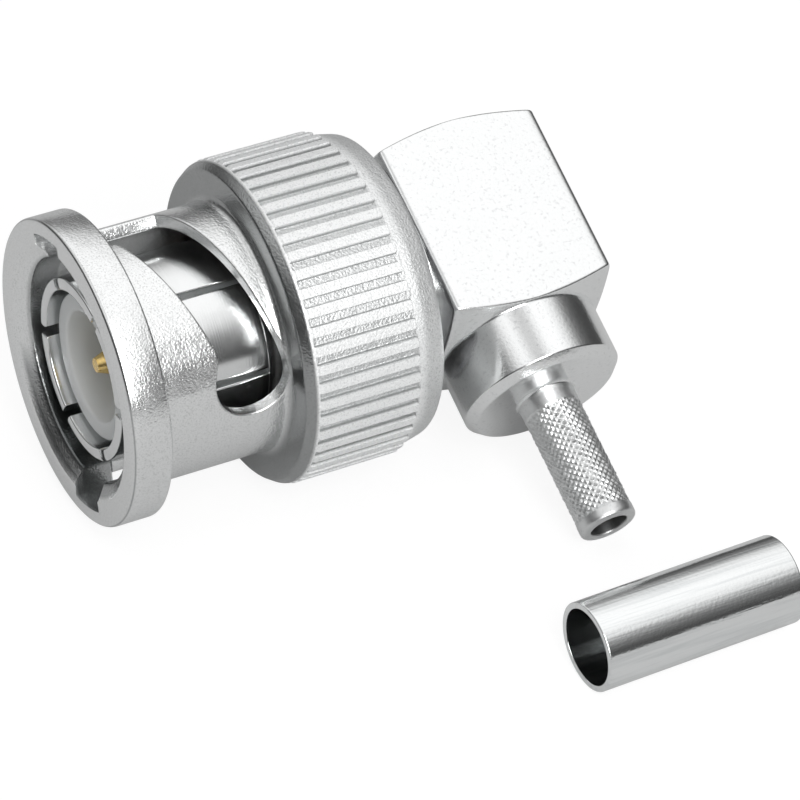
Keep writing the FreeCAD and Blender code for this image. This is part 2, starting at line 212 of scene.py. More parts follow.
BOX_LEVEL = 6.9
BOX_SIZE = (120.0, 300.0)
BOX_PLACE = (20.0, 250.0, 210.0)
softbox = bpy.data.lights.new("softbox", "AREA")
softbox.shape = "RECTANGLE"
softbox.size, softbox.size_y = (side * MM for side in BOX_SIZE)
softbox.energy = BOX_LEVEL * math.pi * softbox.size * softbox.size_y
box = bpy.data.objects.new("softbox", softbox)
upright = Matrix.Rotation(math.radians(-90), 4, "X")
box.matrix_world = Matrix.Translation(Vector(BOX_PLACE) * MM) @ upright
bpy.context.scene.collection.objects.link(box)

TABLE_HALF = 2000.0
TABLE_Z = cad_box[0].z / MM
TABLE_GREY = 0.54
TABLE_TO_METAL = 0.08                      # how much of the table's plain white the metals mirror
FIBRE_SCALE = 60.0
FIBRE_TONE = 0.03                          # lighter and darker by this share
SHADOW_SHARE = 0.16                        # part of the table's white that shadows take away
TABLE_LIT = 0.7                            # how bright the lights make that part in the open
table = bpy.data.meshes.new("table")
corners = [(-TABLE_HALF, -TABLE_HALF), (TABLE_HALF, -TABLE_HALF),
           (TABLE_HALF, TABLE_HALF), (-TABLE_HALF, TABLE_HALF)]
table.from_pydata([(x * MM, y * MM, TABLE_Z * MM) for x, y in corners], [], [(0, 1, 2, 3)])
floor = bpy.data.objects.new("table", table)
bpy.context.scene.collection.objects.link(floor)
table_top = bpy.data.materials.new("table_top")
tree = Tree(table_top)
fibre = noise(tree, tree.node("ShaderNodeTexCoord").get("Object"), FIBRE_SCALE)
tone = mixed(tree, fibre, [TABLE_GREY * (1 - FIBRE_TONE)] * 3, [TABLE_GREY * (1 + FIBRE_TONE)] * 3)
grey = tree.node("ShaderNodeBsdfDiffuse", inputs={0: tone}).get(0)
shaded = tree.node("ShaderNodeBsdfDiffuse", inputs={0: (*[SHADOW_SHARE] * 3, 1)}).get(0)
even = tree.node("ShaderNodeEmission", inputs={0: (*WHITE, 1), 1: 1 - SHADOW_SHARE * TABLE_LIT}).get(0)
white = tree.node("ShaderNodeAddShader", inputs={0: shaded, 1: even}).get(0)
both = tree.node("ShaderNodeMixShader",
                 inputs={0: plain_share(tree, TABLE_TO_METAL), 1: grey, 2: white}).get(0)
tree.node("ShaderNodeOutputMaterial", inputs={0: both})
table.materials.append(table_top)


# Coupling nut
# One die casting with a thin bright nickel plate: a flange with two notches, a neck with two
# through bayonet windows and a ring of straight grip bars. It turns on the plug body.
nut_low, nut_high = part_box("coupling_nut")
NUT_LENGTH = -nut_low.x / MM
BAR_TOP_R = nut_high.y / MM
FLANGE_R = 6.8
FLANGE_DEPTH = 1.77
MOUTH_R = 5.7
MOUTH_DEPTH = 0.5
NECK_R = 5.55
NUT_BORE_R = 4.95
NECK_FILLET = 0.32
RING_FRONT = 7.87
RING_FACE_R = 6.91
LIP_START = 8.3
LIP_R = BAR_TOP_R - 0.06
LIP_REAR = 8.42
BAR_ROOT_R = BAR_TOP_R - 0.27
BAR_COUNT = 54
BAR_END = NUT_LENGTH - 1.35
BAR_END_ROUND = 0.23
BAR_HALF = 0.275                           # shares of the bars' pitch
BAR_FLANK = 0.04
REAR_SLOPE = 0.9
REAR_R = 6.78
BEARING_R = 3.87
REAR_WALL_FRONT = NUT_LENGTH - 1.2
ENTRY_ANGLE = math.radians(108.5)
ENTRY_HALF = 1.12 / NECK_R
NOTCH_R = 6.15
NOTCH_DRAFT = math.radians(0.8)
WINDOW_FRONT = 2.75
WINDOW_REAR = 5.44
RAMP_RISE = math.degrees(0.0303)           # depth for each radian round the neck
REAR_RISE = math.degrees(0.0232)
SEAT_ANGLE = math.radians(14.0)
SEAT_DEPTH = 6.12
SEAT_R = 1.66
SEAT_EASE = math.radians(12.0)
RIM_ROUND = 0.08


def rounded(corners, rounding, closed=True, steps=6):
    """Outline with soft corners, as an array of points. Each corner is replaced by the curve
    (1-t)^2 A + 2t(1-t) C + t^2 B, from A, its rounding before the corner C, to B, as far behind
    it. A rounding is kept under half of either side. Middle axes of corners may hold columns."""
    corners = np.asarray(corners, float)
    before = np.roll(corners, 1, 0) - corners
    after = np.roll(corners, -1, 0) - corners
    sides = [np.linalg.norm(side, axis=-1, keepdims=True) for side in (before, after)]
    reach = np.reshape(rounding, (-1,) + (1,) * (corners.ndim - 1))
    reach = np.minimum(reach, 0.49 * np.minimum(*sides))
    if not closed:
        reach[[0, -1]] = 0
    start = corners + before / np.maximum(sides[0], 1e-9) * reach
    end = corners + after / np.maximum(sides[1], 1e-9) * reach
    t = np.linspace(0, 1, steps).reshape((1, -1) + (1,) * (corners.ndim - 1))
    curve = (1 - t) ** 2 * start[:, None] + 2 * t * (1 - t) * corners[:, None] + t ** 2 * end[:, None]
    return curve.reshape((-1,) + corners.shape[1:])


def about_axis(depth, radius, angle):
    """Points at a depth behind the nut's face, a radius and an angle from +Y towards +Z."""
    return np.stack(np.broadcast_arrays(-depth, radius * np.cos(angle), radius * np.sin(angle)), -1)


WELD = 0.0002                              # points closer than this become one
SHARP_ANGLE = math.radians(33)


def shell(name, islands, body, replaces):
    """One object from closed shells. Each shell is a list of grids (points, wrap rows, wrap columns),
    joined where their borders meet, with its faces turned outwards."""
    whole = bmesh.new()
    for grids in islands:
        points, quads, start = [], [], 0
        for grid, wrap_rows, wrap_columns in grids:
            rows, columns = grid.shape[:2]
            i, j = np.meshgrid(np.arange(rows - (not wrap_rows)),
                               np.arange(columns - (not wrap_columns)), indexing="ij")
            below, right = (i + 1) % rows, (j + 1) % columns
            quads.append(start + np.stack([i * columns + j, i * columns + right,
                                           below * columns + right, below * columns + j],
                                          -1).reshape(-1, 4))
            points.append(grid.reshape(-1, 3))
            start += rows * columns
        points, quads = np.concatenate(points) * MM, np.concatenate(quads)
        part = bpy.data.meshes.new("part")
        part.vertices.add(len(points))
        part.vertices.foreach_set("co", points.ravel())
        part.loops.add(quads.size)
        part.loops.foreach_set("vertex_index", quads.ravel())
        part.polygons.add(len(quads))
        part.polygons.foreach_set("loop_start", np.arange(0, quads.size, 4))
        part.update(calc_edges=True)
        joined = bmesh.new()
        joined.from_mesh(part)
        bmesh.ops.remove_doubles(joined, verts=joined.verts, dist=WELD * MM)
        bmesh.ops.dissolve_degenerate(joined, edges=joined.edges, dist=WELD / 2 * MM)
        bmesh.ops.recalc_face_normals(joined, faces=joined.faces)
        joined.to_mesh(part)
        joined.free()
        whole.from_mesh(part)
        bpy.data.meshes.remove(part)
    mesh = bpy.data.meshes.new(name)
    whole.to_mesh(mesh)
    whole.free()
    mesh.shade_smooth()
    mesh.set_sharp_from_angle(angle=SHARP_ANGLE)
    made = bpy.data.objects.new(name, mesh)
    bpy.context.scene.collection.objects.link(made)
    made.modifiers.new("flat_faces_stay_flat", "WEIGHTED_NORMAL").keep_sharp = True
    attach(made, body)
    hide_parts(*replaces)
    return made


def flange_shell():
    """The flange's section carried round the axis; over the notches its inner part is squeezed
    outwards to the notch's floor, over a short slope that leaves soft walls."""
    section = rounded([(0, MOUTH_R), (0, FLANGE_R), (FLANGE_DEPTH, FLANGE_R),
                       (FLANGE_DEPTH, NUT_BORE_R), (MOUTH_DEPTH, NUT_BORE_R)],
                      (0.07, 0.2, 0.12, 0, 0.1))
    half = ENTRY_HALF + NOTCH_DRAFT
    slope = np.linspace(-2, 2, 9) * NOTCH_DRAFT
    plain = np.linspace(half + 3 * NOTCH_DRAFT, math.pi - half - 3 * NOTCH_DRAFT, 90)
    notch = np.linspace(-half + 3 * NOTCH_DRAFT, half - 3 * NOTCH_DRAFT, 12)
    turn = np.concatenate([slope - half, notch, slope + half, plain])
    turn = np.concatenate([turn, turn + math.pi])
    off = np.abs((turn + math.pi / 2) % math.pi - math.pi / 2)
    share = np.clip((half + NOTCH_DRAFT - off) / (2 * NOTCH_DRAFT), 0, 1)
    share = share * share * (3 - 2 * share)
    radius = np.maximum(section[:, 1:], NUT_BORE_R + (NOTCH_R - NUT_BORE_R) * share)
    return [(about_axis(section[:, :1], radius, turn + ENTRY_ANGLE), True, True)]


def window_edges():
    """The neck unrolled as (angle, depth): a window's front edge and rear edge, both from the middle
    of its round seat to the entry, and the edge of the full wall between two windows."""
    low, high = ENTRY_ANGLE - ENTRY_HALF, ENTRY_ANGLE + ENTRY_HALF
    turn = np.radians(np.arange(-100, 101, 5))
    seat = np.stack([SEAT_ANGLE - SEAT_R / NECK_R * np.cos(turn),
                     SEAT_DEPTH + SEAT_R * np.sin(turn)], -1)
    centre = len(seat) // 2
    ease = seat[0, 0] + SEAT_EASE
    ease_front = WINDOW_FRONT + RAMP_RISE * (low - ease)
    ease_rear = WINDOW_REAR + REAR_RISE * (high - ease)
    near = np.array([0, 0.015, 0.035, 0.06, 0.09, 0.14, 0.2]) / NECK_R

    def along(a, b, count):
        return np.stack([np.linspace(a[0], b[0], count), np.linspace(a[1], b[1], count)], -1)

    front = np.concatenate([
        seat[centre::-1],
        rounded([seat[0], (ease, ease_front), (ease + 0.2, ease_front - 0.2 * RAMP_RISE)],
                (0, 0.08, 0), False),
        along((ease + 0.22, ease_front - 0.22 * RAMP_RISE),
              (low - 0.05, WINDOW_FRONT + 0.05 * RAMP_RISE), 40),
        np.stack([low - near[::-1], WINDOW_FRONT + RAMP_RISE * near[::-1]], -1),
    ])
    rear = np.concatenate([
        seat[centre:],
        along((seat[-1, 0] + 0.03, seat[-1, 1] - 0.012), (ease, ease_rear), 8),
        along((ease + 0.04, ease_rear - 0.04 * REAR_RISE),
              (high - 0.05, WINDOW_REAR + 0.05 * REAR_RISE), 50),
        np.stack([high - near[::-1], WINDOW_REAR + REAR_RISE * near[::-1]], -1),
    ])
    full_end = seat[centre, 0] + math.pi
    full_turn = np.concatenate([high + near, np.linspace(high + 0.06, full_end - 0.06, 36),
                                full_end - near[::-1]])
    full = np.stack([full_turn, np.interp(full_turn, (high, full_end), (rear[-1, 1], SEAT_DEPTH))], -1)
    return front, rear, full


def neck_shell():
    """A tube cut by two windows. Between its ends and a window's edge, rows follow the edge: depth =
    edge + (end - edge) s. Radius falls off within the rim's rounding of the window's outline:
    fall = R - sqrt(R^2 - (R - d)^2) at a distance d from it."""
    low, high = ENTRY_ANGLE - ENTRY_HALF, ENTRY_ANGLE + ENTRY_HALF
    front, rear, full = window_edges()
    outline = np.concatenate([[(low, FLANGE_DEPTH)], front[::-1], rear, [(high, FLANGE_DEPTH)]])
    share = np.array([0, 0.003, 0.008, 0.015, 0.025, 0.045, 0.08, 0.15, 0.3, 0.5, 0.7, 0.82, 0.88,
                      0.92, 0.95, 0.975, 0.99, 1])[:, None]

    def radii(turn, depth):
        flat = np.stack([turn * NECK_R, depth], -1).reshape(-1, 1, 2)
        a = outline[:-1] * (NECK_R, 1)
        b = outline[1:] * (NECK_R, 1)
        step = b - a
        seen_from_both = []
        for shift in (0, math.pi * NECK_R):
            away = flat - a - (shift, 0)
            t = np.clip((away * step).sum(-1) / np.maximum((step ** 2).sum(-1), 1e-12), 0, 1)
            gap = away - t[..., None] * step
            seen_from_both.append(np.sqrt((gap ** 2).sum(-1)).min(-1))
        gap = np.clip(np.minimum(*seen_from_both), 0, RIM_ROUND).reshape(turn.shape)
        fall = RIM_ROUND - np.sqrt(np.maximum(RIM_ROUND ** 2 - (RIM_ROUND - gap) ** 2, 0))
        rise = np.clip(depth - (RING_FRONT - NECK_FILLET), 0, NECK_FILLET)
        fillet = NECK_FILLET - np.sqrt(NECK_FILLET ** 2 - rise ** 2)
        return NECK_R + fillet - fall, NUT_BORE_R + fall

    grids = []
    for edge, end in ((front, FLANGE_DEPTH), (full, FLANGE_DEPTH),
                      (rear, RING_FRONT), (full, RING_FRONT)):
        depth = edge[:, 1] + (end - edge[:, 1]) * share
        turn = np.broadcast_to(edge[:, 0], depth.shape)
        outer, inner = radii(turn, depth)
        for half in (0, math.pi):
            grids.append((about_axis(depth, outer, turn + half), False, False))
            grids.append((about_axis(depth, inner, turn + half), False, False))
            closing = np.stack([outer[-1], inner[-1]])
            grids.append((about_axis(depth[-1], closing, turn[-1] + half), False, False))
    side_low = FLANGE_DEPTH + (front[-1, 1] - FLANGE_DEPTH) * (1 - share[::-1, 0])
    side_high = rear[-1, 1] + (FLANGE_DEPTH - rear[-1, 1]) * share[:, 0]
    path = np.concatenate([
        np.stack([np.full(len(side_low), low), side_low], -1), front[::-1], rear,
        np.stack([np.full(len(side_high), high), side_high], -1)])
    outer, inner = radii(path[:, 0], path[:, 1])
    level = np.linspace(0, 1, 4)[:, None]
    for half in (0, math.pi):
        wall = about_axis(path[:, 1], outer + (inner - outer) * level, path[:, 0] + half)
        grids.append((wall, False, False))
    return grids


def ring_shell():
    """The ring's section carried round the axis. Each point lies between the valleys' section and the
    bars' section by h = s(a) e(x): s falls off over a bar's flank and e rounds its rear end."""
    front = [(RING_FRONT, NUT_BORE_R), (RING_FRONT, RING_FACE_R),
             (LIP_START, LIP_R), (LIP_REAR, LIP_R)]
    soft = (0, 0.1, 0.08, 0.04, 0.05, 0)
    middle = np.concatenate([np.linspace(LIP_REAR + 0.25, BAR_END - 0.4, 4),
                             np.linspace(BAR_END - 0.3, BAR_END, 13), [BAR_END + 0.05]])
    tail = rounded([(BAR_END + 0.1, BAR_ROOT_R), (NUT_LENGTH - REAR_SLOPE, BAR_ROOT_R),
                    (NUT_LENGTH, REAR_R), (NUT_LENGTH, BEARING_R), (REAR_WALL_FRONT, BEARING_R),
                    (REAR_WALL_FRONT, NUT_BORE_R), (RING_FRONT, NUT_BORE_R)],
                   (0, 0.6, 0.3, 0.06, 0, 0, 0), False)
    sections = []
    for radius, drop in ((BAR_ROOT_R, 0.03), (BAR_TOP_R, 0.1)):
        head = rounded(front + [(LIP_REAR + drop, radius), (LIP_REAR + 0.18, radius)], soft, False)
        straight = np.stack([middle, np.full(len(middle), radius)], -1)
        sections.append(np.concatenate([head, straight, tail]))
    valley, top = sections[0][:, None], sections[1][:, None]
    across = np.array([0, 0.1, 0.18, 0.225, 0.25, 0.27, 0.29, 0.315, 0.36, 0.43])
    across = np.concatenate([-across[:0:-1], across, [0.5]])
    turn = (np.arange(BAR_COUNT)[:, None] + across).ravel() / BAR_COUNT * 2 * math.pi - math.pi / 2
    off = np.tile(np.abs(across), BAR_COUNT)
    run = np.clip((BAR_END - valley[:, :, 0]) / BAR_END_ROUND, 0, 1)
    half = BAR_HALF * np.sqrt(1 - (1 - run) ** 2)
    flank = np.clip((half - off) / BAR_FLANK + 0.5, 0, 1) * (run > 0)
    rise = flank * flank * (3 - 2 * flank) * np.clip(run * 2.2, 0, 1)
    point = valley + (top - valley) * rise[..., None]
    return [(about_axis(point[..., 0], point[..., 1], turn), False, True)]


def bump(tree, height, distance):
    """Relief whose full height is a distance in millimetres."""
    return tree.node("ShaderNodeBump",
                     inputs={"Strength": 1.0, "Distance": distance * MM, "Height": height}).get(0)


def finish(name, pattern):
    """A material: pattern(tree, place) gives the shader's inputs from the object's coordinates."""
    paint = bpy.data.materials.new(name)
    tree = Tree(paint)
    inputs = pattern(tree, tree.node("ShaderNodeTexCoord").get("Object"))
    shader = tree.node("ShaderNodeBsdfPrincipled", inputs=inputs).get(0)
    tree.node("ShaderNodeOutputMaterial", inputs={0: shader})
    return paint


CAST_GRAIN = 9500.0                        # grains to the metre: the blasted grain,
CAST_PEEL = 1700.0                         # the plate's orange peel
CAST_SPECKS = 13000.0                      # and dull specks
CAST_RELIEF = 0.034
# the colour that the painted shade mixes towards
CAST_PAINTED_SHADE = (0.19, 0.2, 0.2)
CAST_SPECK = (0.76, 0.77, 0.77)
CAST_PLATE = (0.94, 0.95, 0.95)
CAST_BRIGHT = (0.97, 0.975, 0.975)
BAR_BLOOM = 0.7                            # the blasted ring scatters part of its light
VALLEY_R = BAR_TOP_R - 0.14                # half way down a bar's flank
FACE_DEPTH = 0.3                           # the flange's front face is worn smoother
LOW_Z = -2.4                               # below this, shade is painted into the flange's inside
# painted shade in the valleys between the bars
VALLEY_PAINTED_SHADE = 0.26
# painted shadow along the bars' flanks
FLANK_PAINTED_SHADOW = 0.5
CORNER_PAINTED_SHADE = 0.7                          # painted shade where the neck meets the ring
BAND_PAINTED_SHADE = 0.2                            # painted shade behind the bars
# painted shade in the flange's bore
BORE_PAINTED_SHADE = 0.4
# painted shade low inside the flange
INSIDE_PAINTED_SHADE = 0.6
RIM_PAINTED_SHADE = 0.6                             # painted shade on the flange's front edge


def cast_nickel(tree, place):
    """Bright nickel over a blasted casting: a pebbled grain and a slower orange peel. The ring's bars
    are rubbed matt. Shade is painted into the colour between the bars, along their flanks, under the
    ring's front where the neck meets it, behind the bars, in the flange's bore, low inside the flange
    and on its front edge. The zones are found by radius, depth and height."""
    grain = noise(tree, place, CAST_GRAIN)
    peel = noise(tree, place, CAST_PEEL, 1.0)
    specks = noise(tree, place, CAST_SPECKS, 1.0)
    spot = tree.node("ShaderNodeSeparateXYZ", inputs={0: place})
    across = tree.node("ShaderNodeCombineXYZ", inputs={1: spot.get(1), 2: spot.get(2)}).get(0)
    radius = tree.node("ShaderNodeVectorMath", {"operation": "LENGTH"}, {0: across}).get("Value") / MM
    depth = spot.get(0) / -MM

    def past(value, edge, width):
        """0 before an edge and 1 after it, with a soft border of a width."""
        return ((value - edge) / width).math("ADD", 0.5, clamp=True)

    ring = past(depth, LIP_START, 0.15)
    grooved = past(depth, LIP_REAR, 0.08) * (1 - past(depth, BAR_END, 0.15))
    valley = grooved * (1 - past(radius, VALLEY_R, 0.08))
    flank = grooved * (1 - ((radius - VALLEY_R) / 0.1).math("ABSOLUTE")).math("MAXIMUM", 0.0)
    corner = past(depth, RING_FRONT - NECK_FILLET / 2, 0.3) * (1 - ring)
    face = 1 - past(depth, FACE_DEPTH, 0.15)
    shallow = 1 - past(depth, FLANGE_DEPTH - 0.04, 0.08)
    bore = shallow * (1 - past(radius, NUT_BORE_R + 0.1, 0.12))
    inside = shallow * past(depth, 0.12, 0.1) * (1 - past(radius, NOTCH_R + 0.05, 0.1))
    low = past(spot.get(2) / -MM, -LOW_Z, 1.2)
    rim = past(radius, FLANGE_R - 0.08, 0.05) * (1 - past(depth, 0.08, 0.05))
    band = past(depth, BAR_END + 0.25, 0.5)
    # painted shade: in the ring's valleys and along the bars' flanks, where the neck meets the ring,
    # behind the bars, in the flange's bore, low inside it and on its front edge
    painted_shade = (valley * VALLEY_PAINTED_SHADE + flank * FLANK_PAINTED_SHADOW + corner * CORNER_PAINTED_SHADE + band * BAND_PAINTED_SHADE
            + bore * BORE_PAINTED_SHADE + inside * low * INSIDE_PAINTED_SHADE + rim * RIM_PAINTED_SHADE)
    plate = ramp(tree, specks, (0.3, CAST_SPECK), (0.48, CAST_PLATE), (1.0, CAST_BRIGHT))
    relief = (grain + peel * 0.6) * (0.42 + ring * 0.58 - face * 0.3)
    return {"Base Color": mixed(tree, painted_shade, plate, CAST_PAINTED_SHADE),
            "Metallic": 1 - ring * (1 - valley) * (1 - band * 0.6) * BAR_BLOOM,
            "Roughness": peel * 0.1 + ring * 0.26 + 0.19,
            "Normal": bump(tree, relief, CAST_RELIEF)}


coupling_nut = shell("coupling_nut_dressed", [flange_shell(), neck_shell(), ring_shell()],
                     "nut", ["coupling_nut"])
coupling_nut.data.materials.append(finish("cast_nickel", cast_nickel))


# Elbow
# Turned from square nickel-plated brass bar: block with coned ends, round boss and a hollow stem
# with a fine diamond knurl that grips the cable's braid. A round cap closes the block's back.
BLOCK_HALF = 3.85
BLOCK_GAP = 1.25                           # the collar that shows between nut and block
ELBOW_CENTRE = (-NUT_LENGTH - BLOCK_GAP - BLOCK_HALF, 0.0, 0.0)
CRIMP_AXIS = (0.0, 0.8969414, -0.44214943)
BLOCK_BACK = 4.85
BLOCK_FRONT = 4.45
BLOCK_DROP = 0.6                           # how far the end cones fall to the corners
BLOCK_SOFT = 0.12
CORNER_POWER = 30                          # a superellipse whose corners have a radius of 0.3
CAP_R = 3.0
CAP_DEPTH = 0.75
CAP_BEVEL = 0.15
CAP_GAP = 0.02
BOSS_R = 3.65
BOSS_END = 7.4
BOSS_CHAMFER = 0.38
STEM_R = 1.3
STEM_FOOT_R = 1.36
STEM_FOOT_END = BOSS_END + 0.2
STEM_BORE_R = 0.84
STEM_BORE_START = 9.5
STEM_END = 13.98
KNURL_START = 8.15
KNURL_END = 13.45
KNURL_COUNT = 26
KNURL_DEPTH = 0.07
KNURL_WEAR = 0.22
BAR_SPECKS = 6500.0
BAR_HAZE = 500.0
# the duller stem's tone, and the painted shade in its bore
BAR_DARK = (0.08, 0.08, 0.08)
BAR_SPECK = (0.8, 0.81, 0.815)
BAR_PLATE = (0.93, 0.94, 0.94)
BAR_BRIGHT = (0.95, 0.96, 0.96)


def about(origin, axis, depth, radius, turn):
    """Points at a depth along any axis, a radius and an angle from the world's X, or its Z for an
    axis along X."""
    axis = np.array(Vector(axis).normalized())
    side = np.array((1.0, 0.0, 0.0)) if abs(axis[0]) < 0.9 else np.array((0.0, 0.0, 1.0))
    side = side - axis * side.dot(axis)
    side = side / np.linalg.norm(side)
    other = np.cross(axis, side)
    depth, radius, turn = (np.asarray(v)[..., None] for v in np.broadcast_arrays(depth, radius, turn))
    return np.array(origin) + depth * axis + radius * (np.cos(turn) * side + np.sin(turn) * other)


def block_shell():
    """Profile along the crimp axis for each angle: the square's radius S = h (|cos|^n + |sin|^n)^(-1/n)
    meets the ends' cones where t = end - (S - e) drop / (h sqrt2 - e), with e just under h."""
    spread = np.radians([0, 0.4, 0.8, 1.2, 1.7, 2.3, 3, 4, 6, 9, 13, 18, 24, 31, 38])
    spread = np.concatenate([-spread[:0:-1], spread, [math.pi / 4]])
    turn = (np.arange(4)[:, None] * math.pi / 2 + math.pi / 4 + spread).ravel()
    powers = np.abs(np.cos(turn)) ** CORNER_POWER + np.abs(np.sin(turn)) ** CORNER_POWER
    square = BLOCK_HALF * powers ** (-1 / CORNER_POWER)
    edge = BLOCK_HALF - BLOCK_SOFT
    drop = (square - edge) * BLOCK_DROP / (BLOCK_HALF * math.sqrt(2) - edge)
    flat = np.ones_like(turn)
    corners = np.stack([np.stack([t * flat, r * flat], -1) for t, r in (
        (CAP_DEPTH - BLOCK_BACK, 0), (CAP_DEPTH - BLOCK_BACK, CAP_R), (-BLOCK_BACK, CAP_R),
        (-BLOCK_BACK, edge), (drop - BLOCK_BACK, square), (BLOCK_FRONT - drop, square),
        (BLOCK_FRONT, edge), (BLOCK_FRONT, 0))])
    points = rounded(corners, (0, 0, 0.06, 0.06, 0.12, 0.12, 0.06, 0), False, 5)
    return [(about(ELBOW_CENTRE, CRIMP_AXIS, points[..., 0], points[..., 1], turn), False, True)]


def stem_shell():
    """Turned profile whose knurled length is cut by two families of helices: height = min(w(a + b),
    w(a - b)), with w a triangular wave, a the pitches round the stem and b those along it."""
    front = rounded([(BLOCK_FRONT - 0.4, 0), (BLOCK_FRONT - 0.4, BOSS_R),
                     (BOSS_END - BOSS_CHAMFER, BOSS_R), (BOSS_END, BOSS_R - BOSS_CHAMFER),
                     (BOSS_END, STEM_FOOT_R), (STEM_FOOT_END, STEM_R), (KNURL_START - 0.02, STEM_R)],
                    (0, 0, 0.05, 0.05, 0.12, 0.3, 0), False)
    knurled = np.linspace(KNURL_START, KNURL_END, 150)
    back = rounded([(KNURL_END + 0.02, STEM_R), (STEM_END, STEM_R), (STEM_END, STEM_BORE_R),
                    (STEM_BORE_START, STEM_BORE_R), (STEM_BORE_START, 0)],
                   (0, 0.24, 0.12, 0, 0), False)
    profile = np.concatenate([front, np.stack([knurled, np.full(len(knurled), STEM_R)], -1), back])
    turn = np.linspace(0, 2 * math.pi, 8 * KNURL_COUNT, endpoint=False)
    depth, radius = profile[:, :1], profile[:, 1:]
    pitch = 2 * math.pi * STEM_R / KNURL_COUNT
    around, along = KNURL_COUNT * turn / (2 * math.pi), depth / pitch

    def wave(value):
        return np.abs((value % 1) * 2 - 1)

    height = np.minimum(wave(around + along), wave(around - along))
    ends = np.clip(np.minimum(depth - KNURL_START, KNURL_END - depth) / 0.1, 0, 1)
    patches = np.sin(7 * turn + 1.7 * along) * np.sin(5 * turn - 1.1 * along)
    wear = 1 - KNURL_WEAR + KNURL_WEAR * patches
    on_stem = (radius > STEM_R - 0.001) * (depth > STEM_FOOT_END)
    cut = KNURL_DEPTH * (1 - np.minimum(height * 1.15, 1) * wear) * ends * on_stem
    return [(about(ELBOW_CENTRE, CRIMP_AXIS, depth, radius - cut, turn), False, True)]


def bar_nickel(tree, place):
    """Satin nickel over milled and turned brass, with fine dull specks. The stem is duller, and shade
    is painted into its bore."""
    specks = noise(tree, place, BAR_SPECKS, 3.0)
    haze = noise(tree, place, BAR_HAZE)
    along = tree.node("ShaderNodeVectorMath", {"operation": "DOT_PRODUCT"}, {
        0: place, 1: CRIMP_AXIS}).get("Value")
    stem = (along / MM - BOSS_END - 0.02).math("MULTIPLY", 8.0, clamp=True)
    arm = tree.node("ShaderNodeVectorMath", {"operation": "SUBTRACT"}, {
        0: place, 1: Vector(ELBOW_CENTRE) * MM}).get(0)
    off = tree.node("ShaderNodeVectorMath", {"operation": "CROSS_PRODUCT"}, {
        0: arm, 1: CRIMP_AXIS}).get(0)
    radius = tree.node("ShaderNodeVectorMath", {"operation": "LENGTH"}, {0: off}).get("Value") / MM
    # painted shade inside the stem's bore
    bore = (STEM_BORE_R + 0.03 - radius).math("MULTIPLY", 20.0, clamp=True) * stem
    plate = ramp(tree, specks, (0.3, BAR_SPECK), (0.42, BAR_PLATE), (1.0, BAR_BRIGHT))
    return {"Base Color": mixed(tree, bore * 0.92 + stem * 0.16, plate, BAR_DARK), "Metallic": 1.0,
            "Roughness": haze * 0.08 + stem * 0.2 + 0.13, "Normal": bump(tree, specks, 0.006)}


bar_finish = finish("bar_nickel", bar_nickel)
elbow = shell("elbow_dressed", [block_shell(), stem_shell()], "root", ["elbow_housing"])
elbow.data.materials.append(bar_finish)


def turned(name, corners, rounding, origin, axis, body, replaces, columns=192):
    """A ring turned to a closed outline of (depth, radius) corners about any axis."""
    profile = rounded(corners, rounding)
    turn = np.linspace(0, 2 * math.pi, columns, endpoint=False)
    grid = about(origin, axis, profile[:, :1], profile[:, 1:], turn)
    return shell(name, [[(grid, True, True)]], body, replaces)


end_cap = turned("end_cap_dressed", [
    (-BLOCK_BACK, 0), (-BLOCK_BACK, CAP_R - CAP_GAP), (CAP_DEPTH - BLOCK_BACK, CAP_R - CAP_GAP),
    (CAP_DEPTH - BLOCK_BACK, 0)], (0, CAP_BEVEL, 0, 0), ELBOW_CENTRE, CRIMP_AXIS, "root",
    ["end_cap"])
end_cap.data.materials.append(bar_finish)


# Crimp ferrule
# A short drawn tube, nickel plated, that lies loose beside the plug until the cable is fitted.
FERRULE_R = 1.95
FERRULE_WALL = 0.28
FERRULE_LENGTH = 9.5
FERRULE_YAW = math.radians(181.5)
FERRULE_END = (-14.35, 19.85, TABLE_Z + FERRULE_R)
TUBE_STREAKS = 5500.0
TUBE_STRETCH = 0.03                        # streaks run thirty times as far along the tube
TUBE_GRAIN = 7000.0
TUBE_DULL = (0.76, 0.78, 0.785)
TUBE_PLATE = (0.91, 0.925, 0.925)
TUBE_BRIGHT = (0.95, 0.96, 0.96)
ferrule = turned("ferrule_dressed", [
    (0, FERRULE_R - FERRULE_WALL), (0, FERRULE_R), (FERRULE_LENGTH, FERRULE_R),
    (FERRULE_LENGTH, FERRULE_R - FERRULE_WALL)], (0.04, 0.07, 0.07, 0.04), FERRULE_END,
    (math.cos(FERRULE_YAW), math.sin(FERRULE_YAW), 0.0), "root", ["crimp_ferrule"])


def tube_nickel(tree, place):
    """Nickel over drawn tube: fine streaks along the tube and a few dull patches."""
    along = tree.node("ShaderNodeMapping", {"vector_type": "POINT"}, {
        "Vector": place, "Rotation": (0.0, 0.0, -FERRULE_YAW),
        "Scale": (TUBE_STRETCH, 1.0, 1.0)}).get(0)
    streaks = noise(tree, along, TUBE_STREAKS, 3.0)
    grain = noise(tree, place, TUBE_GRAIN)
    plate = ramp(tree, streaks, (0.25, TUBE_DULL), (0.5, TUBE_PLATE), (1.0, TUBE_BRIGHT))
    return {"Base Color": plate, "Metallic": 1.0, "Roughness": streaks * 0.14 + 0.06,
            "Normal": bump(tree, streaks * 0.8 + grain * 0.35, 0.012)}


ferrule.data.materials.append(finish("tube_nickel", tube_nickel))


